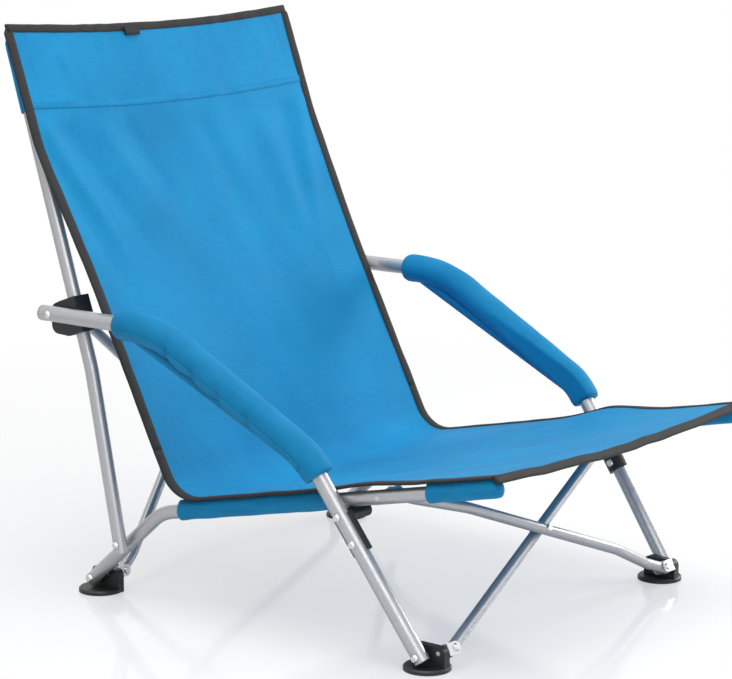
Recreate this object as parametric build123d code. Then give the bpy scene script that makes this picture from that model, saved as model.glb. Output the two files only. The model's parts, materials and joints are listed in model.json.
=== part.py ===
from build123d import *
import math
import os

# Folding camp chair, in millimetres. The chair faces -Y, +X is the sitter's left and +Z is up.
# While it is drawn, y = 0 is the centre of the front feet; the end of the script moves
# the origin to the floor under the middle of the chair.
# Side points are (y, z) pairs, and a piece is drawn on the left side and mirrored to the right.

# Tubes
arm_tube_diameter = 18.0
rail_diameter = 16.0
back_tube_diameter = 16.0
cross_tube_diameter = 12.5
tube_wall = 1.2
tube_end_margin = 6.0
back_tube_end_margin = 10.0

# Clearances
slide_play = 0.05
side_play = 0.5
sleeve_play = 0.3
back_tube_spacing = 3.5

# Feet
foot_inside_rail = 5.0
rear_pad_offset = 3.5
foot_depth_spacing = 482.0
foot_diameter = 52.0
foot_disc_height = 5.0
foot_block_height = 27.0
foot_block_width = 9.0
foot_block_front = 25.0
foot_block_back = 18.0
foot_block_round = 7.0
foot_rim_chamfer = 1.5

# Arm and front leg, one bent tube on each side
leg_foot_offset = 13.0
leg_pivot = (0.0, 16.0)
leg_bend = (140.0, 215.0)
arm_bend = (352.0, 330.0)
arm_end_y = 530.0
arm_pivot_y = 516.0
leg_bend_radius = 80.0
arm_bend_radius = 160.0

# Seat rail and rear leg, one bent tube on each side
rail_half_spacing = 232.0
rail_foot_pivot = (488.0, 16.0)
rail_bend = (378.0, 111.0)
rail_front = (-92.0, 211.0)
rail_bend_radius = 65.0
rail_cross_pivot_y = 58.0

# Back tubes
back_pivot_y = 426.0
back_bend = (474.0, 268.0)
back_top = (607.0, 641.0)
back_bend_radius = 200.0
back_top_inset = 22.0

# Rivets and bent sheet-metal clips
rivet_diameter = 5.0
rivet_head_diameter = 9.0
rivet_head_height = 2.0
rivet_head_taper = 0.7
clip_thickness = 1.6
clip_width = 14.0
clip_reach = 12.0
clip_play = 0.4

# Cross tubes
front_clip_forward = 16.0
rear_clip_forward = 8.0
clip_height = 20.0
cross_tube_tail = 7.0
cross_tube_gap = 1.5
front_jog_start = 30.0
front_jog_end = 100.0
front_jog_radius = 45.0
rear_outer_bow = 51.0
rear_straight_end = 24.0
rear_flat_half = 50.0
rear_end_bend_radius = 60.0
rear_middle_bend_radius = 120.0

# Arm sliders on the back tubes
slider_height_on_tube = 63.0
slider_above = 22.0
slider_below = 20.0
slider_wall = 4.0
slider_lobe_radius = 12.0
slider_cross_back = 22.0
slider_cross_below = 12.0
slider_cross_radius = 10.0

# Leg brackets with the peg that the rail rests on
bracket_wall = 4.0
bracket_below_peg = 44.0
bracket_above_peg = 1.0
peg_diameter = 14.0
peg_length = 34.0
peg_gap = 0.4
lower_rivet_below_peg = 33.0

# Padded arm sleeves
arm_sleeve_diameter = 36.0
arm_sleeve_rear_y = 408.0
arm_sleeve_past_bend = 24.0

# Sling: seat, back, pockets and binding
fabric_thickness = 1.6
sling_past_rail = 6.0
rail_sleeve_wall = 1.7
rail_sleeve_rear_y = 345.0
rail_sleeve_front_y = 122.0
corner_pocket_rear_y = -8.0
corner_pocket_past_end = 3.0
seat_above_sleeve = 1.0
sling_corner_y = 352.0
sling_lip = 62.0
sling_corner_radius = 60.0
sling_knee_height = 520.0
sling_knee_radius = 300.0
sling_top_past_tube = 12.0
back_pocket_length = 75.0
seat_front_sag = 8.0
seat_sag = 13.0
back_sag = 11.0
seat_sag_run = 160.0
corner_sag_before = 120.0
corner_sag_after = 60.0
back_sag_start = 230.0
back_sag_end = 80.0
sag_step = 12.0
sag_columns = 8
binding_width = 3.5
binding_lap = 1.0
binding_thickness = 3.4
label_width = 12.0
label_height = 11.0
label_thickness = 2.4
label_offset = -45.0

# Plugs in open tube ends
plug_depth = 12.0
plug_flange = 2.0

# Derived lines and points
arm_radius = arm_tube_diameter / 2
rail_radius = rail_diameter / 2
back_radius = back_tube_diameter / 2
cross_radius = cross_tube_diameter / 2
foot_half_spacing = rail_half_spacing - foot_inside_rail
sling_half_width = rail_half_spacing + sling_past_rail
rivet_hole_radius = rivet_diameter / 2 + slide_play
cross_spacing = cross_tube_diameter + cross_tube_gap


def along_line(start, end, y=None, z=None):
    """Point of the side line from start to end at the given y or z."""
    share = (y - start[0]) / (end[0] - start[0]) if z is None else (z - start[1]) / (end[1] - start[1])
    return (start[0] + share * (end[0] - start[0]), start[1] + share * (end[1] - start[1]))


def step_from(start, end, distance):
    """Point at a distance from start on the side line towards end."""
    length = math.dist(start, end)
    share = distance / length
    return (start[0] + share * (end[0] - start[0]), start[1] + share * (end[1] - start[1]))


def rail_point(y):
    """Point of the rail's axis on its straight stretch under the seat."""
    return along_line(rail_bend, rail_front, y=y)


rail_cross_pivot = rail_point(rail_cross_pivot_y)
rail_slope = math.atan2(rail_front[1] - rail_bend[1], rail_bend[0] - rail_front[0])
back_pivot = along_line(rail_foot_pivot, rail_bend, y=back_pivot_y)
rear_foot_y = foot_depth_spacing
front_clip_pivot = (-front_clip_forward, clip_height)
rear_clip_pivot = (rear_foot_y - rear_clip_forward, clip_height)

# The back tube stands outside the rail at its foot and leans in to the sling's top pocket.
back_foot_x = rail_half_spacing + rail_radius + back_tube_spacing + back_radius
back_splay = -back_top_inset / (back_top[1] - back_pivot[1])
back_start_x = back_foot_x - back_splay * back_pivot[1]
back_head_play = slide_play - back_splay * rivet_head_diameter / 2
back_axis = Vector(back_splay, (back_top[0] - back_bend[0]) / (back_top[1] - back_bend[1]), 1).normalized()


def back_tube_x(z):
    """Distance of the back tube's axis from the middle plane at a height."""
    return back_start_x + back_splay * z


# Slider, arm pivot and the upper end of the rear cross tube
slider_centre = step_from(back_bend, back_top, slider_height_on_tube)
slider_x = back_tube_x(slider_centre[1])
slider_half_width = back_radius + slider_wall
arm_pivot = (arm_pivot_y, arm_bend[1])
rear_top_pivot = (slider_centre[0] + slider_cross_back, slider_centre[1] - slider_cross_below)

# The arm lies outside the slider, and its leg leans in to the foot.
leg_foot_x = foot_half_spacing + leg_foot_offset
arm_x = slider_x + slider_half_width + side_play + arm_radius
leg_splay = (arm_x - leg_foot_x) / (arm_bend[1] - leg_pivot[1])
leg_head_play = slide_play + leg_splay * rivet_head_diameter / 2
leg_start_x = leg_foot_x - leg_splay * leg_pivot[1]

# Clip pivots, measured from the middle plane
front_block_outer_x = leg_foot_x - arm_radius - side_play - leg_splay * leg_pivot[1]
front_block_inner_x = front_block_outer_x - foot_block_width
rear_block_outer_x = rail_half_spacing - rail_radius - side_play
rear_block_inner_x = rear_block_outer_x - foot_block_width
front_clip_x = front_block_inner_x - clip_reach - clip_thickness
knuckle_x = rail_half_spacing - rail_radius - sleeve_play - clip_reach - clip_thickness
rear_clip_x = rear_block_inner_x - sleeve_play - clip_reach - clip_thickness
rear_top_x = slider_x - slider_half_width - side_play - clip_reach - clip_thickness


def plane_normal(low, high):
    """Unit normal of the plane that holds the X axis and the side line from low to high."""
    return Vector(0, high[1] - low[1], low[0] - high[0]).normalized()


front_normal = plane_normal(front_clip_pivot, rail_cross_pivot) * -1
rear_normal = plane_normal(rear_clip_pivot, rear_top_pivot)

pieces = {}


def both_sides(name, solid):
    """Keep a piece drawn on the left and its mirror image on the right."""
    pieces[name + "_left"] = solid
    pieces[name + "_right"] = mirror(solid, about=Plane.YZ)


def at(x, side_point):
    """Point in space from a distance from the middle plane and a side point."""
    return Vector(x, side_point[0], side_point[1])


def rod(start, end, radius):
    """Round bar between two points."""
    axis = Vector(end) - Vector(start)
    plane = Plane(origin=start, z_dir=axis)
    return plane * Cylinder(radius, axis.length, align=(Align.CENTER, Align.CENTER, Align.MIN))


def side_path(start_x, splay, points, radii):
    """Path in a side plane that leans outwards by splay for each millimetre of height."""
    stretch = math.hypot(1, splay)
    plane = Plane(origin=(start_x, 0, 0), x_dir=(0, 1, 0), z_dir=(1, 0, -splay))
    return plane * FilletPolyline(*[(y, z * stretch) for y, z in points], radius=radii)


def tube_along(path, outer_radius, inner_radius):
    """Hollow tube swept along a path."""
    section = Circle(outer_radius) - Circle(inner_radius)
    return sweep((path ^ 0) * section, path=path)


def cross_hole(start_x, end_x, side_point, radius=rivet_hole_radius):
    """Cutter for a hole along X at a side point."""
    return rod(at(start_x, side_point), at(end_x, side_point), radius)


def rivet(start, end):
    """Rivet whose two heads sit just outside the two given points."""
    start = Vector(start)
    axis = Vector(end) - start
    base = (Align.CENTER, Align.CENTER, Align.MIN)
    head_radius = rivet_head_diameter / 2
    shank = Cylinder(rivet_diameter / 2, axis.length, align=base)
    last_head = Cone(head_radius, head_radius * rivet_head_taper, rivet_head_height, align=base)
    first_head = Cone(head_radius * rivet_head_taper, head_radius, rivet_head_height, align=base)
    body = shank + Pos(0, 0, axis.length) * last_head + Pos(0, 0, -rivet_head_height) * first_head
    return Plane(origin=start, z_dir=axis) * body


def pin(start, end):
    """Rivet with its head just outside the start point and a plain end."""
    axis = Vector(end) - Vector(start)
    base = (Align.CENTER, Align.CENTER, Align.MIN)
    head_radius = rivet_head_diameter / 2
    head = Cone(head_radius * rivet_head_taper, head_radius, rivet_head_height, align=base)
    body = Cylinder(rivet_diameter / 2, axis.length, align=base) + Pos(0, 0, -rivet_head_height) * head
    return Plane(origin=start, z_dir=axis) * body


def u_clip(pivot, outward, axis):
    """Clip with two ears round a cross tube's end and a base plate on its outer side."""
    ear_gap = cross_radius + clip_play
    half_height = ear_gap + clip_thickness
    base_x = clip_reach + clip_thickness / 2
    body = Pos(base_x, 0, 0) * Box(clip_thickness, clip_width, 2 * half_height)
    for side in (1, -1):
        ear_z = side * (ear_gap + clip_thickness / 2)
        ear_length = clip_reach + clip_thickness
        body += Pos(ear_length / 2, 0, ear_z) * Box(ear_length, clip_width, clip_thickness)
        body += Pos(0, 0, ear_z) * Cylinder(clip_width / 2, clip_thickness)
    body -= Cylinder(rivet_hole_radius, 4 * half_height)
    body -= Pos(base_x, 0, 0) * Rot(0, 90, 0) * Cylinder(rivet_hole_radius, 4 * clip_thickness)
    return Plane(origin=pivot, x_dir=outward, z_dir=axis) * body


def clip_rivet(pivot, axis):
    """Rivet through the two ears of a clip."""
    reach = axis * (cross_radius + clip_play + clip_thickness + slide_play)
    return rivet(pivot - reach, pivot + reach)


def base_pin(pivot, outer_x):
    """Pin along X from inside a clip's base plate to an outer face."""
    inner = Vector(pivot.X + clip_reach - slide_play, pivot.Y, pivot.Z)
    return pin(inner, Vector(outer_x, pivot.Y, pivot.Z))


def foot(outer_x, pad_x, centre_y, holes):
    """Plastic foot: a round pad with an upright block that the tubes are riveted to."""
    pad = Cylinder(foot_diameter / 2, foot_disc_height, align=(Align.CENTER, Align.CENTER, Align.MIN))
    pad = chamfer(pad.edges().filter_by(GeomType.CIRCLE).sort_by(Axis.Z)[-1], foot_rim_chamfer)
    length = foot_block_front + foot_block_back
    block = Box(foot_block_width, length, foot_block_height, align=(Align.MAX, Align.MIN, Align.MIN))
    block = fillet(block.edges().filter_by(Axis.X).group_by(Axis.Z)[-1], foot_block_round)
    body = Pos(pad_x, centre_y, 0) * pad + Pos(outer_x, centre_y - foot_block_front, 0) * block
    for point in holes:
        body -= cross_hole(outer_x - 2 * foot_block_width, outer_x + foot_block_width, point)
    return body


def arm_path(points, radii):
    """Path in the leaning plane of the arm and front leg."""
    return side_path(leg_start_x, leg_splay, points, radii)


def leg_x(z):
    """Distance of the leg's axis from the middle plane at a height."""
    return leg_start_x + leg_splay * z


# Feet and the rivets that they carry
def make_feet():
    both_sides("front_foot", foot(front_block_outer_x, foot_half_spacing, 0, [leg_pivot, front_clip_pivot]))
    rear_pad_x = rear_block_outer_x + rear_pad_offset
    rear_holes = [rail_foot_pivot, rear_clip_pivot]
    both_sides("rear_foot", foot(rear_block_outer_x, rear_pad_x, rear_foot_y, rear_holes))
    front_low = at(front_clip_x, front_clip_pivot)
    leg_outer = leg_x(leg_pivot[1]) + arm_radius + leg_head_play
    leg_rivet = rivet(at(front_block_inner_x - slide_play, leg_pivot), at(leg_outer, leg_pivot))
    front_pins = base_pin(front_low, front_block_outer_x) + clip_rivet(front_low, front_normal)
    both_sides("front_foot_rivets", leg_rivet + front_pins)
    rail_outer = rail_half_spacing + rail_radius + slide_play
    rail_start = at(rear_block_inner_x - slide_play, rail_foot_pivot)
    rear_pin = base_pin(at(rear_clip_x, rear_clip_pivot), rear_block_outer_x)
    both_sides("rear_foot_rivets", rivet(rail_start, at(rail_outer, rail_foot_pivot)) + rear_pin)


# Clips that hold the ends of the cross tubes
def make_clips():
    outward = Vector(1, 0, 0)
    both_sides("front_foot_clip", u_clip(at(front_clip_x, front_clip_pivot), outward, front_normal))
    places = {
        "rear_foot_clip": (at(rear_clip_x, rear_clip_pivot), rear_normal),
        "rail_clip": (at(knuckle_x, rail_cross_pivot), front_normal),
        "slider_clip": (at(rear_top_x, rear_top_pivot), rear_normal),
    }
    for name, (pivot, normal) in places.items():
        both_sides(name, u_clip(pivot, outward, normal))
        both_sides(name + "_rivet", clip_rivet(pivot, normal))


def cross_tube(low, high, normal, outline, radii, middle_offset):
    """Cross tube drawn in the plane of its two end pivots and the normal."""
    axis = high - low
    plane = Plane(origin=low, x_dir=axis, z_dir=axis.cross(normal))
    points = outline(axis.length)
    path = plane * (FilletPolyline(*points, radius=radii) if len(points) > 2 else Line(*points))
    body = tube_along(path, cross_radius, cross_radius - tube_wall)
    for end in (low, high):
        body -= rod(end - normal * cross_tube_diameter, end + normal * cross_tube_diameter, rivet_hole_radius)
    middle = low + axis * (-low.X / axis.X) + normal * middle_offset
    through = normal * cross_tube_diameter
    body -= rod(middle - through, middle + through, rivet_hole_radius)
    return body


# Front pair: the right tube is straight, and a jog lets the left one pass in front of it at the middle rivet.
def make_front_cross():
    for side, offset in (("right", 0), ("left", cross_spacing)):
        sign = 1 if side == "left" else -1
        low = at(sign * front_clip_x, front_clip_pivot)
        high = at(-sign * knuckle_x, rail_cross_pivot)

        def outline(length):
            jog = [
                (front_jog_start, 0),
                (front_jog_end, offset),
                (length - front_jog_end, offset),
                (length - front_jog_start, 0),
            ]
            return [(-cross_tube_tail, 0), *(jog if offset else []), (length + cross_tube_tail, 0)]

        pieces["front_cross_tube_" + side] = cross_tube(
            low, high, front_normal, outline, front_jog_radius, offset
        )
    to_middle = math.dist(front_clip_pivot, rail_cross_pivot) * front_clip_x / (front_clip_x + knuckle_x)
    middle = at(0, step_from(front_clip_pivot, rail_cross_pivot, to_middle))
    reach = front_normal * (cross_radius + slide_play)
    pieces["front_cross_rivet"] = rivet(middle - reach, middle + front_normal * cross_spacing + reach)


# Rear pair: bent back at the middle, behind the sitter.
def make_rear_cross():
    for side, offset in (("right", rear_outer_bow), ("left", rear_outer_bow - cross_spacing)):
        sign = 1 if side == "left" else -1
        low = at(sign * rear_clip_x, rear_clip_pivot)
        high = at(-sign * rear_top_x, rear_top_pivot)

        def outline(length):
            return [
                (-cross_tube_tail, 0),
                (rear_straight_end, 0),
                (length / 2 - rear_flat_half, offset),
                (length / 2 + rear_flat_half, offset),
                (length - rear_straight_end, 0),
                (length + cross_tube_tail, 0),
            ]

        radii = [rear_end_bend_radius, rear_middle_bend_radius, rear_middle_bend_radius, rear_end_bend_radius]
        pieces["rear_cross_tube_" + side] = cross_tube(low, high, rear_normal, outline, radii, offset)
    to_middle = math.dist(rear_clip_pivot, rear_top_pivot) * rear_clip_x / (rear_clip_x + rear_top_x)
    middle = at(0, step_from(rear_clip_pivot, rear_top_pivot, to_middle))
    outer = rear_normal * (rear_outer_bow + cross_radius + slide_play)
    inner = rear_normal * (rear_outer_bow - cross_spacing / 2 + cross_tube_gap / 4)
    pieces["rear_cross_rivet"] = pin(middle + outer, middle + inner)


# Seat rail with the rear leg at its back end
def make_rails():
    rail_start = step_from(rail_foot_pivot, rail_bend, -tube_end_margin)
    path = side_path(rail_half_spacing, 0, [rail_start, rail_bend, rail_front], [rail_bend_radius])
    rail = tube_along(path, rail_radius, rail_radius - tube_wall)
    for point in (rail_foot_pivot, back_pivot, rail_cross_pivot):
        rail -= cross_hole(rail_half_spacing - rail_diameter, rail_half_spacing + rail_diameter, point)
    both_sides("seat_rail", rail)
    inner_x = rail_half_spacing - rail_radius - slide_play
    back_rivet = rivet(at(inner_x, back_pivot), at(back_foot_x + back_radius + back_head_play, back_pivot))
    cross_pin = base_pin(at(knuckle_x, rail_cross_pivot), rail_half_spacing + rail_radius)
    both_sides("rail_rivets", back_rivet + cross_pin)


# Back tube, its pivot on the rail and its top plug
def make_back_tubes():
    start = step_from(back_pivot, back_bend, -back_tube_end_margin)
    path = side_path(back_start_x, back_splay, [start, back_bend, back_top], [back_bend_radius])
    tube = tube_along(path, back_radius, back_radius - tube_wall)
    tube -= cross_hole(back_foot_x - back_tube_diameter, back_foot_x + back_tube_diameter, back_pivot)
    both_sides("back_tube", tube)
    top = at(back_tube_x(back_top[1]), back_top)
    stem = rod(top - back_axis * plug_depth, top, back_radius - tube_wall - slide_play)
    both_sides("back_tube_plug", stem + rod(top, top + back_axis * plug_flange, back_radius))


# Slider: a moulded block on the back tube that carries the arm and a rear cross tube
def make_sliders():
    plane = Plane(origin=(slider_x - slider_half_width, 0, 0), x_dir=(0, 1, 0), z_dir=(1, 0, 0))
    lean = math.degrees(math.atan2(back_top[0] - back_bend[0], back_top[1] - back_bend[1]))
    height = slider_above + slider_below
    around_tube = Rectangle(2 * slider_half_width, height, align=(Align.CENTER, Align.MIN))
    around_tube = Pos(*slider_centre) * Rot(0, 0, -lean) * Pos(0, -slider_below) * around_tube
    arm_lobe = Pos(*arm_pivot) * Circle(slider_lobe_radius)
    cross_lobe = Pos(*rear_top_pivot) * Circle(slider_cross_radius)
    outline = make_hull(around_tube.edges() + arm_lobe.edges() + cross_lobe.edges())
    body = extrude(plane * outline, amount=2 * slider_half_width)
    centre = at(slider_x, slider_centre)
    body -= rod(centre - back_axis * 2 * height, centre + back_axis * 2 * height, back_radius + slide_play)
    both_sides("arm_slider", body)


# Bent tube that is arm and front leg in one, with its rivet at the slider and its rear plug
def make_arms():
    foot_end = step_from(leg_pivot, leg_bend, -tube_end_margin)
    points = [foot_end, leg_bend, arm_bend, (arm_end_y, arm_bend[1])]
    path = arm_path(points, [leg_bend_radius, arm_bend_radius])
    tube = tube_along(path, arm_radius, arm_radius - tube_wall)
    for point in (leg_pivot, arm_pivot, peg_point, lower_rivet_point):
        middle_x = leg_x(point[1])
        tube -= cross_hole(middle_x - arm_tube_diameter, middle_x + arm_tube_diameter, point)
    both_sides("arm_leg_tube", tube)
    outer = at(arm_x + arm_radius + slide_play, arm_pivot)
    both_sides("arm_pivot_rivet", pin(outer, at(arm_x - arm_radius, arm_pivot)))
    end = Vector(arm_x, arm_end_y, arm_bend[1])
    back = Vector(0, 1, 0)
    stem = rod(end - back * (arm_end_y - arm_pivot_y) / 2, end, arm_radius - tube_wall - slide_play)
    both_sides("arm_end_plug", stem + rod(end, end + back * plug_flange, arm_radius))


# Bracket on the inner side of the leg, with a peg under the rail
rail_drop = (rail_radius + peg_gap + peg_diameter / 2) / math.cos(rail_slope)


def find_peg_point():
    """Point of the leg's axis that lies one rail and peg radius under the rail."""
    leg_rise = (leg_bend[1] - leg_pivot[1]) / (leg_bend[0] - leg_pivot[0])
    rail_rise = (rail_front[1] - rail_bend[1]) / (rail_front[0] - rail_bend[0])
    rail_at_zero = rail_bend[1] - rail_rise * rail_bend[0] - rail_drop
    leg_at_zero = leg_pivot[1] - leg_rise * leg_pivot[0]
    return along_line(leg_pivot, leg_bend, y=(rail_at_zero - leg_at_zero) / (leg_rise - rail_rise))


peg_point = find_peg_point()
lower_rivet_point = step_from(peg_point, leg_pivot, lower_rivet_below_peg)


def make_leg_brackets():
    top = step_from(peg_point, leg_pivot, -bracket_above_peg)
    bottom = step_from(peg_point, leg_pivot, bracket_below_peg)
    axis_top = at(leg_x(top[1]), top)
    axis_bottom = at(leg_x(bottom[1]), bottom)
    shell = rod(axis_bottom, axis_top, arm_radius + bracket_wall)
    middle = (axis_top + axis_bottom) * 0.5
    inner_half = Plane(origin=middle, x_dir=(1, 0, 0), z_dir=axis_top - axis_bottom)
    block = inner_half * Box(2 * arm_tube_diameter, 2 * arm_tube_diameter, 4 * bracket_below_peg, align=(
        Align.MAX, Align.CENTER, Align.CENTER))
    shell = shell & block
    inner_x = leg_x(peg_point[1]) - arm_radius - peg_length
    shell += rod(at(inner_x, peg_point), at(leg_x(peg_point[1]), peg_point), peg_diameter / 2)
    far = (axis_top - axis_bottom) * 0.5
    shell -= rod(axis_bottom - far, axis_top + far, arm_radius)
    for point in (peg_point, lower_rivet_point):
        shell -= cross_hole(inner_x - peg_length, leg_x(point[1]) + arm_tube_diameter, point)
    both_sides("leg_bracket", shell)
    lower_inner_x = leg_x(lower_rivet_point[1]) - arm_radius - bracket_wall
    rivets = []
    for point, start_x in ((peg_point, inner_x), (lower_rivet_point, lower_inner_x)):
        outer_x = leg_x(point[1]) + arm_radius + leg_head_play
        rivets.append(rivet(at(start_x - leg_head_play, point), at(outer_x, point)))
    both_sides("leg_bracket_rivets", rivets[0] + rivets[1])


# Padded sleeve on the arm, flat on the inside where the rail swings past it
def make_arm_sleeves():
    front_end = step_from(leg_bend, leg_pivot, arm_sleeve_past_bend)
    rear_end = (arm_sleeve_rear_y, arm_bend[1])
    path = arm_path([front_end, leg_bend, arm_bend, rear_end], [leg_bend_radius, arm_bend_radius])
    sleeve = tube_along(path, arm_sleeve_diameter / 2, arm_radius + sleeve_play)
    rail_outer_x = rail_half_spacing + rail_radius + sleeve_play + rail_sleeve_wall
    rail_side = Pos(rail_outer_x + side_play, 0, 0) * Box(arm_x, 2 * arm_end_y, 2 * arm_end_y, align=(
        Align.MAX, Align.CENTER, Align.CENTER))
    both_sides("arm_sleeve", sleeve - rail_side)


# Sleeves of the sling on the rails: a long one behind the leg and a pocket on the front end
def make_rail_sleeves():
    inner = rail_radius + sleeve_play
    outer = inner + rail_sleeve_wall
    rear = at(rail_half_spacing, rail_point(rail_sleeve_rear_y))
    front = at(rail_half_spacing, rail_point(rail_sleeve_front_y))
    both_sides("rail_sleeve", rod(rear, front, outer) - rod(rear, front, inner))
    pocket_rear = at(rail_half_spacing, rail_point(corner_pocket_rear_y))
    tip = at(rail_half_spacing, rail_point(rail_front[0]))
    forward = (tip - pocket_rear).normalized()
    pocket = rod(pocket_rear, tip + forward * corner_pocket_past_end, outer)
    both_sides("corner_pocket", pocket - rod(pocket_rear, tip + forward * sleeve_play, inner))


# Sling lines: the seat runs above the rail sleeves, and the back's top lies on the back tubes.
seat_over_rail = rail_radius + sleeve_play + rail_sleeve_wall + seat_above_sleeve + binding_thickness / 2
seat_rise = seat_over_rail / math.cos(rail_slope)
back_lean = math.atan2(back_top[0] - back_bend[0], back_top[1] - back_bend[1])
back_panel_forward = (back_radius + sleeve_play + binding_thickness / 2) / math.cos(back_lean)


def seat_point(y):
    """Point of the seat's middle surface."""
    rail_y, rail_z = rail_point(y)
    return (rail_y, rail_z + seat_rise)


def back_point(z):
    """Point of the back's middle surface where it lies on the back tubes."""
    y = along_line(back_bend, back_top, z=z)[0]
    return (y - back_panel_forward, z)


seat_front_y = rail_front[0] - corner_pocket_past_end
sling_top = back_point(back_top[1] + sling_top_past_tube)
sling_corner = seat_point(sling_corner_y)
sling_knee = back_point(sling_knee_height)
sling_split = step_from(sling_corner, sling_knee, sling_lip)


def seat_path():
    """Seat from its front edge to a lip that turns up into the back."""
    points = [seat_point(seat_front_y), sling_corner, sling_split]
    return side_path(0, 0, points, [sling_corner_radius])


def back_path():
    """Back from the seat's lip to the top edge above the back tubes."""
    return side_path(0, 0, [sling_split, sling_knee, sling_top], [sling_knee_radius])


def strip(path, left_x, right_x, thickness):
    """Sheet of even thickness swept along a side path between two distances from the middle plane."""
    plane = Plane(origin=path @ 0, x_dir=(1, 0, 0), z_dir=path % 0)
    section = plane * (Pos((left_x + right_x) / 2, 0) * Rectangle(right_x - left_x, thickness))
    return sweep(section, path=path)


def ease(value, low, high):
    """Smooth step from 0 at low to 1 at high."""
    share = min(1, max(0, (value - low) / (high - low)))
    return share * share * (3 - 2 * share)


def sag_depth(travel, x, seat_length, back_length):
    """Depth of the sag at a distance along the sling from its front edge and a distance from the middle."""
    total = seat_length + back_length
    seat = seat_front_sag + (seat_sag - seat_front_sag) * ease(travel, 0, seat_sag_run)
    back = back_sag * (1 - ease(travel, total - back_sag_start, total - back_sag_end))
    into_back = ease(travel, seat_length - corner_sag_before, seat_length + corner_sag_after)
    middle = seat + (back - seat) * into_back
    return middle * max(0, 1 - (x / sling_half_width) ** 2) ** 1.5


def sagging_sheet(path, first, last, half_width, thickness, depth):
    """Sheet along a side path between two distances on it, pushed back by a depth that varies over it."""
    count = max(3, math.ceil((last - first) / sag_step))
    sections = []
    for j in range(sag_columns + 1):
        x = half_width * (2 * j / sag_columns - 1)
        front, rear = [], []
        for i in range(count + 1):
            travel = first + (last - first) * i / count
            on_path = min(max(travel, 0), path.length)
            share = on_path / path.length
            along = path % share
            facing = Vector(1, 0, 0).cross(along)
            middle = path @ share + along * (travel - on_path) - facing * depth(travel, x) + Vector(x, 0, 0)
            front.append(middle + facing * (thickness / 2))
            rear.append(middle - facing * (thickness / 2))
        ends = [Line(front[-1], rear[-1]), Line(rear[0], front[0])]
        sections.append(make_face([Spline(*front), ends[0], Spline(*reversed(rear)), ends[1]]))
    return loft(sections)


def edge_strips(path):
    """Binding along both side edges of a sheet."""
    outer = sling_half_width + binding_width
    return [
        strip(path, sling_half_width, outer, binding_thickness),
        strip(path, -outer, -sling_half_width, binding_thickness),
    ]


def end_bar(path, share, outward):
    """Binding across the end of a sheet, outside the end of its path."""
    plane = Plane(origin=path @ share, x_dir=(1, 0, 0), z_dir=(path % share) * outward)
    width = 2 * (sling_half_width + binding_width)
    bar = Box(width, binding_thickness, binding_width, align=(Align.CENTER, Align.CENTER, Align.MIN))
    return plane * bar


def make_sling():
    seat = seat_path()
    back = back_path()

    def seat_depth(travel, x):
        return sag_depth(travel, x, seat.length, back.length)

    def back_depth(travel, x):
        return sag_depth(seat.length + travel, x, seat.length, back.length)

    seat_start = binding_lap + slide_play
    pieces["seat_panel"] = sagging_sheet(
        seat, seat_start, seat.length, sling_half_width, fabric_thickness, seat_depth
    )
    panel = sagging_sheet(back, sleeve_play, back.length, sling_half_width, fabric_thickness, back_depth)
    top = at(back_tube_x(back_top[1]), back_top)
    pocket_end = top + back_axis * (plug_flange + sleeve_play)
    pocket_start = top - back_axis * back_pocket_length
    inner = back_radius + sleeve_play
    outer = inner + fabric_thickness
    pocket = rod(pocket_start, pocket_end + back_axis * fabric_thickness, outer)
    pocket -= rod(pocket_start, pocket_end, inner)
    panel += pocket + mirror(pocket, about=Plane.YZ)
    pieces["back_panel"] = panel
    seat_edges = edge_strips(seat)
    outer_half = sling_half_width + binding_width
    front_bar = sagging_sheet(seat, -binding_width, binding_lap, outer_half, binding_thickness, seat_depth)
    pieces["seat_binding"] = seat_edges[0] + seat_edges[1] + front_bar
    back_edges = edge_strips(back)
    binding = back_edges[0] + back_edges[1] + end_bar(back, 1, 1)
    below = pocket_start - back_axis * back_pocket_length
    clearance = rod(below, pocket_end + back_axis * plug_flange, outer)
    pieces["back_binding"] = binding - clearance - mirror(clearance, about=Plane.YZ)
    forward = Vector(1, 0, 0).cross(back % 1)
    front_face = Plane(origin=back @ 1, x_dir=(1, 0, 0), z_dir=forward)
    label = Box(label_width, label_height, label_thickness, align=(Align.CENTER, Align.MAX, Align.MIN))
    pieces["label_loop"] = front_face * (Pos(label_offset, 0, fabric_thickness / 2) * label)


def build():
    make_feet()
    make_clips()
    make_front_cross()
    make_rear_cross()
    make_rails()
    make_back_tubes()
    make_sliders()
    make_arms()
    make_leg_brackets()
    make_arm_sleeves()
    make_rail_sleeves()
    make_sling()


build()

# Move the origin to the floor under the middle of the chair.
boxes = [solid.bounding_box() for solid in pieces.values()]
centre_y = (min(box.min.Y for box in boxes) + max(box.max.Y for box in boxes)) / 2
os.makedirs("parts", exist_ok=True)
for name, solid in pieces.items():
    placed = Pos(0, -centre_y, 0) * solid
    export_step(placed, os.path.join("parts", name + ".step"))
print(len(pieces), "pieces, middle at y", round(centre_y, 3))
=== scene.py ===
# %% [markdown]
# A low folding camp chair. The steel frame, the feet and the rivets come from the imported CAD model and
# keep their shapes; this script gives them their finishes. The cloth parts are made here, because a solid
# can only stand in for cloth: the sling, its edge tape, the sleeves on the rails and the padded arms.

# %% Load the frame
import json
import math

import bmesh
import bpy
from mathutils import Matrix, Vector, noise


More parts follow.
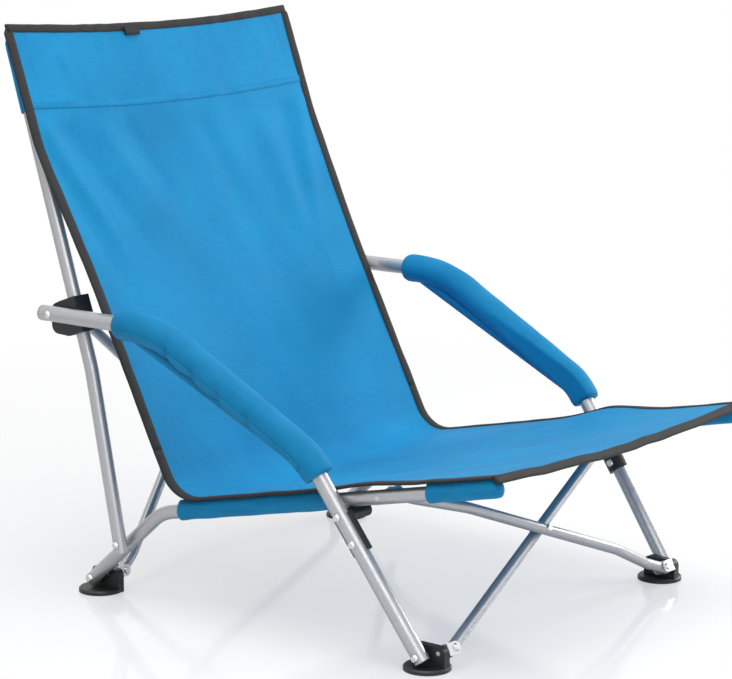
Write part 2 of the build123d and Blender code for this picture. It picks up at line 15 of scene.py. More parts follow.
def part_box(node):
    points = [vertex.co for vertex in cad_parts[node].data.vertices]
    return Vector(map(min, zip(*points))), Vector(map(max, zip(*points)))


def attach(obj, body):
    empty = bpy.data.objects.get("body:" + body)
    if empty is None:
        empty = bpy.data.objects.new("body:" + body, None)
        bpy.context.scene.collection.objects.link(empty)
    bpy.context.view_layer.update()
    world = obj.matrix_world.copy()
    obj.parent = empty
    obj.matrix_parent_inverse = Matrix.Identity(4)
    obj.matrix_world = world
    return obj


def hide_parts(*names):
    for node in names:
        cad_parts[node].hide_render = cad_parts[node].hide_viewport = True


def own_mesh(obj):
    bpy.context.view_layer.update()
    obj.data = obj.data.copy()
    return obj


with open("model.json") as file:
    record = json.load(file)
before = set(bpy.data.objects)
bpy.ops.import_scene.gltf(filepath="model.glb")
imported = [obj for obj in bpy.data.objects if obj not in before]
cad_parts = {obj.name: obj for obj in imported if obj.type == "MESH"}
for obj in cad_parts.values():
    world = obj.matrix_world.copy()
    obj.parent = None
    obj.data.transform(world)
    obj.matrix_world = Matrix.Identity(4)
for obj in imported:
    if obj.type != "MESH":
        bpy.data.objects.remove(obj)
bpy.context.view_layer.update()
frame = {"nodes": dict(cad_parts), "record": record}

# %% [markdown]
# All lengths below are written in millimetres, as they would be measured on the chair: x from the middle,
# y back from the centre of the front feet, z up from the floor. One function turns them into metres in the
# frame's own place, which it reads from a front foot.

# %% Measuring on the chair
MM = 0.001
foot_low, foot_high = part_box("front_foot_left")
front_foot_y = (foot_low[1] + foot_high[1]) / 2


def spot(x, y, z):
    """Point in the frame from millimetres measured on the chair."""
    return Vector((x * MM, y * MM + front_foot_y, z * MM))


print("front feet at y =", round(front_foot_y, 4))

# %% [markdown]
# The camera stands where the photograph was taken: in front of the chair on the sitter's right, a little
# higher than the chair, with a long lens. Its place was solved from pairs of matching points on the two
# sides of the chair. Setting position and aim by numbers keeps the render and the photograph in step.

# %% Camera
CAMERA_SPOT = spot(-2362, -1637, 855)
CAMERA_TURN = math.radians(-51.14)
CAMERA_DIP = math.radians(10.53)
FOCAL_PIXELS = 2641.3
IMAGE_WIDTH = 732
SENSOR_WIDTH = 36.0

camera_data = bpy.data.cameras.new("camera")
camera_data.sensor_fit = "HORIZONTAL"
camera_data.sensor_width = SENSOR_WIDTH
camera_data.lens = FOCAL_PIXELS * SENSOR_WIDTH / IMAGE_WIDTH
camera_data.clip_end = 60
camera = bpy.data.objects.new("camera", camera_data)
camera.matrix_world = (
    Matrix.Translation(CAMERA_SPOT)
    @ Matrix.Rotation(CAMERA_TURN, 4, "Z")
    @ Matrix.Rotation(math.pi / 2 - CAMERA_DIP, 4, "X")
)
bpy.context.scene.collection.objects.link(camera)
bpy.context.scene.camera = camera
bpy.context.scene.view_settings.view_transform = "Standard"
print("lens:", round(camera_data.lens, 1), "mm")

# %% [markdown]
# Product photographs like this one are lit by large soft boxes in a white room, so shadows are faint and
# tubes show long soft highlights. Large area lamps give the shape: one overhead and one beside the camera,
# on its right. A smaller one on the chair's far side rakes across the cloth, so that its folds show. Each
# lamp has a place, a point to aim at, a size in metres and a power in watts.

# %% Lamps
LAMPS = {
    "overhead box": (spot(-300, 100, 2300), (0, 0, 0.3), 2.2, 46),
    "front box": (spot(-1500, -1900, 1500), (0, 0, 0.35), 1.6, 17),
    "side box": (spot(1900, -500, 900), (0, 0.05, 0.4), 0.9, 22),
}
for name, (place, target, size, power) in LAMPS.items():
    lamp_data = bpy.data.lights.new(name, "AREA")
    lamp_data.shape = "SQUARE"
    lamp_data.size = size
    lamp_data.energy = power
    lamp = bpy.data.objects.new(name, lamp_data)
    lamp.location = place
    lamp.rotation_euler = (Vector(target) - place).to_track_quat("-Z", "Y").to_euler()
    bpy.context.scene.collection.objects.link(lamp)
print("lamps:", len(LAMPS))

# %% [markdown]
# The room's even light comes from a white world. It could be white for every ray, but then it would light
# the cloth too much and flatten it. So the world is white where it is seen, and dimmer where it only lights.
# Colours are written as sRGB hex values, as a colour picker shows them, and Blender's shaders work in linear
# light, so one function converts them. Another adds a node with its settings and links.

# %% White room
ROOM_LIGHT = 0.34


def linear(hex_colour):
    """Linear RGBA from an sRGB hex value."""
    parts = [int(hex_colour[i:i + 2], 16) / 255 for i in (1, 3, 5)]
    return tuple(c / 12.92 if c <= 0.04045 else ((c + 0.055) / 1.055) ** 2.4 for c in parts) + (1.0,)


def add_node(tree, kind, settings=None, **links):
    """Adds a node; settings are properties, or socket values by name or number; links feed its sockets."""
    node = tree.nodes.new(kind)
    for name, value in (settings or {}).items():
        if isinstance(name, int) or name in node.inputs:
            node.inputs[name].default_value = value
        else:
            setattr(node, name, value)
    for name, source in links.items():
        tree.links.new(source, node.inputs[int(name[3:]) if name.startswith("in_") else name])
    return node


def seen_directly(tree):
    """Share that is 1 for rays that end in the picture: straight from the camera, mirrored or let through."""
    path = add_node(tree, "ShaderNodeLightPath")
    shiny = add_node(tree, "ShaderNodeMath", {"operation": "MAXIMUM"},
                     in_0=path.outputs["Is Glossy Ray"], in_1=path.outputs["Is Transmission Ray"])
    return add_node(tree, "ShaderNodeMath", {"operation": "MAXIMUM"},
                    in_0=path.outputs["Is Camera Ray"], in_1=shiny.outputs[0]).outputs[0]


WHITE = linear("#FFFFFF")
world = bpy.data.worlds.new("white room")
bpy.context.scene.world = world
world.use_nodes = True
sky = world.node_tree
sky.nodes.clear()
white = add_node(sky, "ShaderNodeBackground", {"Color": WHITE, "Strength": 1.0})
room = add_node(sky, "ShaderNodeBackground", {"Color": WHITE, "Strength": ROOM_LIGHT})
both = add_node(sky, "ShaderNodeMixShader", None,
                in_0=seen_directly(sky), in_1=room.outputs[0], in_2=white.outputs[0])
add_node(sky, "ShaderNodeOutputWorld", None, Surface=both.outputs[0])
print("room light:", ROOM_LIGHT)

# %% [markdown]
# The chair stands on a polished white acrylic sheet, which mirrors the legs softly. Near the chair the sheet
# keeps the shadow. Further out it turns white to the camera, as the photograph's floor runs into the
# background without an edge. A bigger lamp could whiten it too, but that would bleach the chair.

# %% Floor
FLOOR_HALF = 15.0
FLOOR_DROP_MM = 0.5
FLOOR_GLOW = 0.5
GLOW_NEAR = 0.45
GLOW_FAR = 1.8
floor_corners = [(x * FLOOR_HALF, y * FLOOR_HALF, 0) for x, y in ((-1, -1), (1, -1), (1, 1), (-1, 1))]
floor_mesh = bpy.data.meshes.new("floor")
floor_mesh.from_pydata(floor_corners, [], [(0, 1, 2, 3)])
floor = bpy.data.objects.new("floor", floor_mesh)
bpy.context.scene.collection.objects.link(floor)
acrylic = bpy.data.materials.new("white acrylic sheet, polished")
acrylic.use_nodes = True
tree = acrylic.node_tree
tree.nodes.clear()
polish = add_node(tree, "ShaderNodeBsdfPrincipled",
                  {"Base Color": linear("#F4F5F6"), "Roughness": 0.1, "IOR": 1.49})
glow = add_node(tree, "ShaderNodeEmission", {"Color": WHITE, "Strength": 1.0})
camera_only = add_node(tree, "ShaderNodeLightPath").outputs["Is Camera Ray"]
where = add_node(tree, "ShaderNodeTexCoord").outputs["Object"]
from_chair = add_node(tree, "ShaderNodeVectorMath", {"operation": "LENGTH"}, in_0=where).outputs["Value"]
glow_share = add_node(
    tree, "ShaderNodeMapRange",
    {"interpolation_type": "SMOOTHSTEP", "From Min": GLOW_NEAR, "From Max": GLOW_FAR,
     "To Min": FLOOR_GLOW, "To Max": 1.0}, Value=from_chair).outputs["Result"]
share = add_node(tree, "ShaderNodeMath", {"operation": "MULTIPLY", "use_clamp": True},
                 in_0=camera_only, in_1=glow_share)
mixed = add_node(tree, "ShaderNodeMixShader", None,
                 in_0=share.outputs[0], in_1=polish.outputs[0], in_2=glow.outputs[0])
add_node(tree, "ShaderNodeOutputMaterial", None, Surface=mixed.outputs[0])
floor_mesh.materials.append(acrylic)
floor.location.z = -FLOOR_DROP_MM * MM
print("floor:", 2 * FLOOR_HALF, "m wide")

# %% [markdown]
# Each finish is a Principled shader with a pattern whose scale comes from a real size. The patterns could be
# painted as images; noise and waves need no file and stay sharp in a close view. These helpers make the
# shader, the grains, and the colour, roughness and bump that follow them.

# %% Pattern helpers
def new_finish(name, settings):
    """New material with a Principled shader; returns the material, its tree and the shader."""
    material = bpy.data.materials.new(name)
    material.use_nodes = True
    tree = material.node_tree
    tree.nodes.clear()
    shader = add_node(tree, "ShaderNodeBsdfPrincipled", settings)
    add_node(tree, "ShaderNodeOutputMaterial", None, Surface=shader.outputs[0])
    return material, tree, shader


def speckle(tree, size_mm, detail=2.0):
    """Noise with grains of about the given size, on the object's own coordinates in metres."""
    where = add_node(tree, "ShaderNodeTexCoord").outputs["Object"]
    return add_node(tree, "ShaderNodeTexNoise", {"Scale": 1 / (size_mm * MM), "Detail": detail},
                    Vector=where).outputs["Fac"]


# Noise seldom leaves this range, so colours and numbers run from one end of it to the other.
NOISE_RANGE = (0.3, 0.7)


def shade_between(tree, factor, dark, light):
    """Colour that runs from a dark to a light value over the range of noise."""
    ramp = add_node(tree, "ShaderNodeValToRGB", None, Fac=factor)
    for stop, position, colour in zip(ramp.color_ramp.elements, NOISE_RANGE, (dark, light)):
        stop.position = position
        stop.color = linear(colour)
    return ramp.outputs["Color"]


def number_between(tree, factor, low, high):
    """Number that runs from low to high over the range of noise."""
    return add_node(tree, "ShaderNodeMapRange",
                    {"From Min": NOISE_RANGE[0], "From Max": NOISE_RANGE[1], "To Min": low, "To Max": high},
                    Value=factor).outputs["Result"]


def raise_surface(tree, shader, height, depth_mm, strength=1.0):
    """Bump on a shader from a height pattern."""
    bump = add_node(tree, "ShaderNodeBump", {"Strength": strength, "Distance": depth_mm * MM}, Height=height)
    tree.links.new(bump.outputs["Normal"], shader.inputs["Normal"])


print("helpers for patterns over noise from", *NOISE_RANGE)

# %% [markdown]
# The frame is thin steel tube with a silver-grey powder coat. The powder melts into a skin with a faint
# orange peel and fine metal flakes, so its highlights are long and soft. Rivets and clips are zinc-plated
# steel: bright, a little cloudy. Feet, sliders and brackets are black nylon, moulded with a fine texture.

# %% Hard finishes
PEEL_MM = 1.4
FLAKE_MM = 0.7
CLOUD_MM = 6.0
TEXTURE_MM = 0.8

# The metallic flakes make it silver, and the clear skin over them keeps the highlight soft.
powder_coat, tree, shader = new_finish(
    "silver-grey powder coat on steel", {"Metallic": 0.65, "Roughness": 0.34})
flakes = speckle(tree, FLAKE_MM)
tree.links.new(shade_between(tree, flakes, "#A6A8AB", "#BFC0C3"), shader.inputs["Base Color"])
tree.links.new(number_between(tree, speckle(tree, 9.0), 0.28, 0.4), shader.inputs["Roughness"])
raise_surface(tree, shader, speckle(tree, PEEL_MM), 0.05, 0.35)

# Zinc is brighter than the paint and a little cloudy, so rivets stand out as light dots.
zinc_plate, tree, shader = new_finish("zinc-plated steel, bright", {"Metallic": 1.0, "Roughness": 0.26})
cloud = speckle(tree, CLOUD_MM)
tree.links.new(shade_between(tree, cloud, "#CBCCCD", "#D6D7D7"), shader.inputs["Base Color"])
tree.links.new(number_between(tree, cloud, 0.28, 0.36), shader.inputs["Roughness"])

# The mould's fine texture breaks up reflections, so the black looks matt.
black_nylon, tree, shader = new_finish("black nylon, moulded", {"Roughness": 0.48, "IOR": 1.53})
grain = speckle(tree, TEXTURE_MM, 4.0)
tree.links.new(shade_between(tree, speckle(tree, 14.0), "#131416", "#1D1E20"), shader.inputs["Base Color"])
tree.links.new(number_between(tree, grain, 0.4, 0.56), shader.inputs["Roughness"])
raise_surface(tree, shader, grain, 0.08, 0.5)

# The plugs are plain soft plastic, duller than the tube that they close.
grey_plug, tree, shader = new_finish("grey polyethylene, moulded", {"Roughness": 0.5, "IOR": 1.5})
cloud = speckle(tree, CLOUD_MM)
tree.links.new(shade_between(tree, cloud, "#8F9194", "#A2A4A6"), shader.inputs["Base Color"])
raise_surface(tree, shader, speckle(tree, 0.9), 0.05, 0.4)
print("hard finishes:", powder_coat.name, "/", zinc_plate.name, "/", black_nylon.name, "/", grey_plug.name)

# %% [markdown]
# The sling is plain-woven polyester with a coating on the back. Threads are about half a millimetre apart,
# too fine to show at this size, so the weave is drawn at 1.8 mm. Its pattern runs along the cloth's own
# width and length, which the meshes carry as UV coordinates in metres. Thread slubs and slow changes of
# shade keep the blue from looking painted. Fibres scatter light, so the cloth hardly mirrors anything.

# %% Woven cloth
WEAVE_MM = 1.8
SLUB_MM = 26.0
THREAD_MM = 1.1
WEAVE_SHADE = 0.05
SLOW_SHADE = 0.45


def wave(tree, coordinate, pitch_mm):
    """Sine of one cloth coordinate, one period per pitch."""
    scaled = add_node(tree, "ShaderNodeMath", {"operation": "MULTIPLY", 1: 2 * math.pi / (pitch_mm * MM)},
                      in_0=coordinate)
    return add_node(tree, "ShaderNodeMath", {"operation": "SINE"}, in_0=scaled.outputs[0]).outputs[0]


def cloth_coordinates(tree):
    """The cloth's width and length coordinates in metres."""
    uv = add_node(tree, "ShaderNodeUVMap", {"uv_map": "cloth"})
    parts = add_node(tree, "ShaderNodeSeparateXYZ", None, Vector=uv.outputs["UV"])
    return uv.outputs["UV"], parts.outputs["X"], parts.outputs["Y"]


def stretched_noise(tree, uv, along_mm, across_mm, detail=2.0):
    """Noise drawn out along one thread direction."""
    scale = (1 / (along_mm * MM), 1 / (across_mm * MM), 1)
    mapping = add_node(tree, "ShaderNodeMapping", {"Scale": scale}, Vector=uv)
    return add_node(tree, "ShaderNodeTexNoise", {"Scale": 1.0, "Detail": detail},
                    Vector=mapping.outputs[0]).outputs["Fac"]


def woven_finish(name, dark, light, slow_mm):
    """Plain-woven cloth with slubs in both thread directions and a slow change of shade."""
    material, tree, shader = new_finish(
        name, {"Roughness": 0.72, "IOR": 1.5, "Specular IOR Level": 0.22, "Sheen Weight": 0.03,
               "Sheen Roughness": 0.45})
    uv, across, along = cloth_coordinates(tree)
    weave = add_node(tree, "ShaderNodeMath", {"operation": "MULTIPLY"},
                     in_0=wave(tree, across, WEAVE_MM), in_1=wave(tree, along, WEAVE_MM)).outputs[0]
    both_ways = add_node(tree, "ShaderNodeMath", {"operation": "ADD"},
                         in_0=stretched_noise(tree, uv, SLUB_MM, THREAD_MM),
                         in_1=stretched_noise(tree, uv, THREAD_MM, SLUB_MM)).outputs[0]
    slubs = add_node(tree, "ShaderNodeMath", {"operation": "MULTIPLY", 1: 0.5}, in_0=both_ways).outputs[0]
    slow = stretched_noise(tree, uv, slow_mm, slow_mm, 1.0)
    threads = add_node(tree, "ShaderNodeMath", {"operation": "MULTIPLY_ADD", 1: WEAVE_SHADE},
                       in_0=weave, in_2=slubs).outputs[0]
    mixed = add_node(tree, "ShaderNodeMath", {"operation": "MULTIPLY_ADD", 1: SLOW_SHADE},
                     in_0=slow, in_2=threads).outputs[0]
    tone = add_node(tree, "ShaderNodeMath", {"operation": "SUBTRACT", 1: SLOW_SHADE / 2},
                    in_0=mixed).outputs[0]
    tree.links.new(shade_between(tree, tone, dark, light), shader.inputs["Base Color"])
    tree.links.new(number_between(tree, slubs, 0.62, 0.82), shader.inputs["Roughness"])
    height = add_node(tree, "ShaderNodeMath", {"operation": "MULTIPLY_ADD", 1: 2.0}, in_0=slubs, in_2=weave)
    raise_surface(tree, shader, height.outputs[0], 0.12, 0.45)
    return material


blue_cloth = woven_finish("blue polyester, plain-woven and coated", "#0375A9", "#0C8DC2", 120.0)
# The sleeves and arm pads get the same blue made a little darker: painted shade, for the shade on the arms
# and under the seat.
shaded_sleeve_cloth = woven_finish("blue polyester over foam, plain-woven", "#0372A5", "#0C86B8", 60.0)
print("cloths:", blue_cloth.name, "/", shaded_sleeve_cloth.name)

# %% [markdown]
# The edges are bound with dark webbing, whose ribs cross its length. It is sewn with dark thread, and the
# pocket with blue thread that is a little darker than the cloth. With these, each solid of the frame gets
# the finish of its material slot; the cloth pieces get theirs when they are made.

# %% Webbing, thread and the frame's finishes
RIB_MM = 1.6
TWIST_SHADE_MM = 2.0

# Real ribs are finer; drawn 1.6 mm apart they show as a faint grain across the tape.
edge_webbing, tree, shader = new_finish(
    "dark grey polypropylene webbing, ribbed", {"Roughness": 0.75, "IOR": 1.49})
uv, across, along = cloth_coordinates(tree)
fibres = stretched_noise(tree, uv, 3.0, 1.2)
tree.links.new(shade_between(tree, fibres, "#09090A", "#19191B"), shader.inputs["Base Color"])
raise_surface(tree, shader, wave(tree, along, RIB_MM), 0.25, 0.6)

# Twisted thread shows light and dark turns; they are painted here as shade and highlight, in specks of a
# darker and a lighter colour instead of one even colour.
THREADS = {
    "blue polyester thread, twisted": ("#0E5F98", "#1B78B6"),
    "dark polyester thread, twisted": ("#232325", "#3E3E40"),
}
threads = []
for name, (dark, light) in THREADS.items():
    material, tree, shader = new_finish(name, {"Roughness": 0.6, "IOR": 1.5})
    tree.links.new(shade_between(tree, speckle(tree, TWIST_SHADE_MM), dark, light), shader.inputs["Base Color"])
    threads.append(material)
blue_thread, dark_thread = threads

finishes = {"grey_tube": powder_coat, "black_plastic": black_nylon, "zinc_steel": zinc_plate,
            "grey_plug": grey_plug}
for part in frame["record"]["subparts"]:
    finish = finishes.get(part["material_slot"])
    if finish:
        mesh = frame["nodes"][part["node"]].data
        mesh.materials.clear()
        mesh.materials.append(finish)
print("finishes:", len(bpy.data.materials))

# %% [markdown]
# Every soft part here follows a line: the sling follows its side profile, a sleeve follows its tube. The
# line could be a Blender curve; a list of points is easier to measure and to move point by point. So the
# first tool walks a line of straight runs with rounded corners and returns evenly spaced points on it.

# %% Lines
STEP_MM = 7.0
ARC_STEP_DEGREES = 4


def rounded_line(corners, radii, step=STEP_MM):
    """Evenly spaced points on a line of runs whose inner corners are arcs of the given radii."""
    points = [corners[0]]
    for before, corner, after, radius in zip(corners, corners[1:], corners[2:], radii):
        back = (before - corner).normalized()
        ahead = (after - corner).normalized()
        half = (math.pi - back.angle(ahead)) / 2
        reach = radius * math.tan(half)
        centre = corner + (back + ahead).normalized() * (radius / math.cos(half))
        start = corner + back * reach - centre
        end = corner + ahead * reach - centre
        count = max(4, int(math.degrees(2 * half) / ARC_STEP_DEGREES))
        points += [centre + start.slerp(end, i / count) * radius for i in range(count + 1)]
    points.append(corners[-1])
    lengths = [0.0]
    for first, second in zip(points, points[1:]):
        lengths.append(lengths[-1] + (second - first).length)
    count = max(2, round(lengths[-1] / (step * MM)))
    even, k = [], 0
    for i in range(count + 1):
        target = lengths[-1] * i / count
        while k < len(points) - 2 and lengths[k + 1] < target:
            k += 1
        run = lengths[k + 1] - lengths[k]
        even.append(points[k].lerp(points[k + 1], (target - lengths[k]) / run if run else 0.0))
    return even


def directions(points):
    """Unit direction of a line at each of its points."""
    ends = [points[0]] + points + [points[-1]]
    return [(b - a).normalized() for a, b in zip(ends, ends[2:])]


def line_length(points):
    """Length of a line in millimetres."""
    return sum((b - a).length for a, b in zip(points, points[1:])) / MM


print("points on lines are about", STEP_MM, "mm apart")

# %% [markdown]
# A sheet starts as a grid of points, one row per place on its line. The grid carries cloth coordinates, so
# that the weave runs true. A Solidify modifier gives it its thickness and is applied at once, because the
# mesh has to be final before the sheet is tied to the frame.

# %% Sheets
def grid_piece(name, rows, material, wrap=False, loop=False, flip=False, start=0.0):
    """Mesh from rows of points, closed across by wrap and along by loop; its UVs run in metres from start."""
    count, across = len(rows), len(rows[0])
    verts = [p for row in rows for p in row]
    faces, uvs = [], []
    u_at, v_at = [0.0], [start]
    middle = rows[count // 2]
    for a, b in zip(middle, middle[1:] + middle[:1]):
        u_at.append(u_at[-1] + (b - a).length)
    for a, b in zip(rows, rows[1:] + rows[:1]):
        v_at.append(v_at[-1] + (b[across // 2] - a[across // 2]).length)
    for i in range(count if loop else count - 1):
        for j in range(across if wrap else across - 1):
            i2, j2 = (i + 1) % count, (j + 1) % across
            face = [(i, j, i, j), (i, j2, i, j + 1), (i2, j2, i + 1, j + 1), (i2, j, i + 1, j)]
            if flip:
                face.reverse()
            faces.append([a * across + b for a, b, _, _ in face])
            uvs += [(u_at[d], v_at[c]) for _, _, c, d in face]
    mesh = bpy.data.meshes.new(name)
    mesh.from_pydata(verts, [], faces)
    layer = mesh.uv_layers.new(name="cloth")
    for loop_uv, value in zip(layer.data, uvs):
        loop_uv.uv = value
    mesh.polygons.foreach_set("use_smooth", [True] * len(mesh.polygons))
    mesh.materials.append(material)
    piece = bpy.data.objects.new(name, mesh)
    bpy.context.scene.collection.objects.link(piece)
    return piece


def thicken(piece, thickness_mm):
    """Gives a sheet its thickness; its cut edges are sharp, so the shading of the two faces ends cleanly."""
    both_faces = 2 * len(piece.data.polygons)
    solidify = piece.modifiers.new("cloth thickness", "SOLIDIFY")
    solidify.thickness = thickness_mm * MM
    solidify.offset = 0.0
    bpy.context.view_layer.update()
    ready = piece.evaluated_get(bpy.context.evaluated_depsgraph_get())
    mesh = bpy.data.meshes.new_from_object(ready)
    piece.modifiers.clear()
    piece.data = mesh
    for face in piece.data.polygons[both_faces:]:
        for corner_index in face.loop_indices:
            edge_index = piece.data.loops[corner_index].edge_index
            piece.data.edges[edge_index].use_edge_sharp = True
    return piece


print("sheet tools ready")

# %% [markdown]
# The sling's side profile has four points: the front edge of the seat, the corner where seat meets back,
# the knee where the back meets the back tubes, and the top edge. The cloth is one length on the real chair.
# Here it is cut in two a little above the corner, because the back turns against the seat when it folds.

# %% Sling profile
SLING_FRONT = (-95.0, 224.6)
SLING_CORNER = (352.0, 129.5)
SLING_KNEE = (553.2, 520.0)
SLING_TOP = (600.7, 653.0)
CORNER_RADIUS = 42.0
KNEE_RADIUS = 300.0
SEAT_LIP = 62.0


def side(point):
    """Point on the middle plane from a (y, z) pair."""
    return spot(0, *point)


def face_direction(tangent):
    """Direction from the cloth towards the sitter."""
    return Vector((0, -tangent.z, tangent.y))


corner, knee = side(SLING_CORNER), side(SLING_KNEE)
lip = corner + (knee - corner).normalized() * SEAT_LIP * MM
seat_line = rounded_line([side(SLING_FRONT), corner, lip], [CORNER_RADIUS * MM])
back_line = rounded_line([lip, knee, side(SLING_TOP)], [KNEE_RADIUS * MM])
seat_length, back_length = line_length(seat_line), line_length(back_line)
sling_length = seat_length + back_length
print("seat length", round(seat_length), "back length", round(back_length))

# %% [markdown]
# Between the tubes the cloth hangs a little, so each point is moved away from the sitter by a sag that is
# largest in the middle of the width. A cloth simulation could find the same hollow; a formula gives it at
# once and the same each time. The back is a little wider at its top, where the pocket takes the tubes.

# %% Sag and width
HALF_WIDTH = 238.0
SEAT_SAG = 13.0
BACK_SAG = 11.0
FRONT_SAG = 8.0
FRONT_SAG_RUN = 160
TOP_SAG_RUN = (230, 80)
CORNER_SAG_RUN = (120, 60)
TOP_WIDENING = 8.5
WIDENING_RUN = (330, 130)
TOP_CORNER_CUT = 7.0
TOP_CORNER_RUN = (-4, 7)


def smooth(value, low, high):
    """Smooth step from 0 at low to 1 at high."""
    t = min(1.0, max(0.0, (value - low) / (high - low)))
    return t * t * (3 - 2 * t)


def near_top(travel, run):
    """Smooth step from 0 to 1 between two distances below the top edge."""
    return smooth(travel, sling_length - run[0], sling_length - run[1])


def sag_at(travel):
    """Depth of the sag in the middle, at a distance from the front edge along the cloth, in millimetres."""
    front = FRONT_SAG + (SEAT_SAG - FRONT_SAG) * smooth(travel, 0, FRONT_SAG_RUN)
    back = BACK_SAG * (1 - near_top(travel, TOP_SAG_RUN))
    before, after = CORNER_SAG_RUN
    return front + (back - front) * smooth(travel, seat_length - before, seat_length + after)


def width_share(travel):
    """Width of the sling at a distance from the front edge, as a share of the seat's width."""
    half = HALF_WIDTH + TOP_WIDENING * near_top(travel, WIDENING_RUN)
    half -= TOP_CORNER_CUT * (1 - smooth(sling_length - travel, *TOP_CORNER_RUN))
    return half / HALF_WIDTH


print("sag in the seat's middle:", round(sag_at(seat_length / 2), 1), "mm")

# %% [markdown]
# Cloth under pull makes long folds that start where it is held: here at the ends of the pocket seam. They are
# laid one by one as ridges and hollows. Between them, slow waves come from noise that is stretched along
# the pull, with short creases at the corner and small puckers along the seams.

# %% Folds and wrinkles
# Each fold: x, distance below the top, direction, length, half width, height
PULL_FOLDS = [
    (-222, 106, (0.30, 0.95), 240, 10.0, 4.6), (-236, 128, (0.24, 0.97), 260, 12.0, -3.4),
    (-190, 112, (0.42, 0.91), 260, 15.0, -3.6), (-140, 112, (0.46, 0.89), 220, 16.0, 3.4),
    (-90, 108, (0.40, 0.92), 170, 13.0, -2.6), (222, 106, (-0.24, 0.97), 250, 12.0, 4.2),
    (190, 112, (-0.14, 0.99), 260, 15.0, -3.8), (140, 120, (0.10, 1.0), 240, 17.0, 2.8),
    (30, 108, (0.30, 0.95), 200, 16.0, -2.2), (70, 30, (0.05, 1.0), 62, 9.0, 1.6),
    (-170, 20, (0.25, 0.97), 70, 8.0, 1.8), (180, 22, (-0.2, 0.98), 66, 9.0, 1.6),
]
FOLD_START_RUN = 18
FOLD_FULL_SHARE = 0.35
WRINKLE_MM = 1.5
CREASE_BEFORE_END = 55
CREASE_RUN = 70
TOP_PUCKER_RUN = 20
SEAM_BELOW_TOP = 97
SEAM_PUCKER_RUN = 14


def hill(distance, run):
    """Bell-shaped share that is 1 at distance 0."""
    return math.exp(-(distance / run) ** 2)


def pulled_folds(x, below_top):
    """Height of the long folds that the pull of the back tubes makes, in millimetres."""
    height = 0.0
    for start_x, start_down, (across, down), length, half, rise in PULL_FOLDS:
        along = (x - start_x) * across + (below_top - start_down) * down
        aside = (x - start_x) * down - (below_top - start_down) * across
        taper = smooth(along, 0, FOLD_START_RUN) * (1 - smooth(along, FOLD_FULL_SHARE * length, length))
        height += rise * taper * hill(aside, half)
    return height


def wrinkle_at(x, travel):
    """Height of the wrinkles in millimetres; the factors of x and travel are waves per millimetre."""
    across = x / HALF_WIDTH
    below_top = sling_length - travel
    on_back = smooth(travel, seat_length - 30, seat_length + 90)
    slow = noise.noise(Vector((x * 0.009, travel * 0.0035, 3.1)))
    pulled = noise.noise(Vector((x * 0.028 + travel * 0.006, travel * 0.004, 7.7)))
    broad = noise.noise(Vector((x * 0.0085 + 5.0, travel * 0.009, 2.2)))
    broad *= on_back * smooth(below_top, 60, 160)
    creases = noise.noise(Vector((x * 0.012, travel * 0.045, 1.3)))
    creases *= hill(travel - seat_length + CREASE_BEFORE_END, CREASE_RUN)
    top_puckers = noise.noise(Vector((x * 0.055, travel * 0.01, 6.4)))
    top_puckers *= math.exp(-max(0.0, below_top) / TOP_PUCKER_RUN)
    seam_puckers = noise.noise(Vector((x * 0.05, 4.0, 8.4)))
    seam_puckers *= hill(below_top - SEAM_BELOW_TOP, SEAM_PUCKER_RUN)
    waves = 1.1 * slow + 0.9 * pulled + 1.3 * creases + 3.0 * broad + 2.0 * top_puckers + 1.4 * seam_puckers
    flat_edge, flat_rim = max(0.0, 1 - across ** 6), max(0.0, 1 - across ** 12)
    return WRINKLE_MM * waves * flat_edge + pulled_folds(x, below_top) * flat_rim


print("pulled folds:", len(PULL_FOLDS))

# %% [markdown]
# Now each point of the sling can be placed: its row gives the place on the profile, x the place across. The
# free stretch of the seat's edge rides up a little over each front leg, and the top edge droops between the
# tubes. The two panels meet edge to edge, and their shading runs on from one to the other.

# %% Seat and back
LEG_HUMP_LEFT = 8.0
LEG_HUMP_RIGHT = 3.0
LEG_HUMP_TRAVEL = 172.0
LEG_HUMP_RUN = 48.0
TOP_DROOP = 9.0
DROOP_RUN = (400, 130)
SAG_POWER = 1.5
COLUMNS = 96
CLOTH_THICK = 1.5


def edge_hump(x, travel):
    """Height of the seat's side edges over the front legs, in millimetres."""
    rise = LEG_HUMP_LEFT if x > 0 else LEG_HUMP_RIGHT
    return rise * smooth(abs(x), 0.6 * HALF_WIDTH, HALF_WIDTH) * hill(travel - LEG_HUMP_TRAVEL, LEG_HUMP_RUN)


def sling_point(line, tangents, start, row, x, lift_mm=0.0):
    """Point of the sling at a row of its line and a distance from the middle, raised by lift."""
    travel = start + row * (line[1] - line[0]).length / MM
    across = min(1.0, abs(x) / HALF_WIDTH)
    depth = sag_at(travel) * (1 - across ** 2) ** SAG_POWER - wrinkle_at(x, travel) - edge_hump(x, travel)
    droop = TOP_DROOP * (1 - across ** 2) * near_top(travel, DROOP_RUN)
    point = line[row] - face_direction(tangents[row]) * (depth - lift_mm) * MM - tangents[row] * droop * MM
    point.x = x * width_share(travel) * MM
    return point


def places_across(half, count=COLUMNS):
    """Evenly spaced x values from -half to half."""
    return [half * (2 * j / count - 1) for j in range(count + 1)]


def sling_sheet(name, line, start):
    """One panel of the sling as a thick sheet."""
    tangents = directions(line)
    columns = places_across(HALF_WIDTH)
    rows = [[sling_point(line, tangents, start, i, x) for x in columns] for i in range(len(line))]
    return thicken(grid_piece(name, rows, blue_cloth, start=start * MM), CLOTH_THICK)


seat_cloth = sling_sheet("seat_cloth", seat_line, 0.0)
back_cloth = sling_sheet("back_cloth", back_line, seat_length)
print("sling faces:", len(seat_cloth.data.polygons) + len(back_cloth.data.polygons))

# %% [markdown]
# A strip of dark webbing is folded over every raw edge and sewn through. It could be a flat ribbon on each
# face; a closed bar with rounded corners, swept along the edge, also shows the fold from outside. These
# tools sweep such a bar, close its ends and join several bars into one piece.

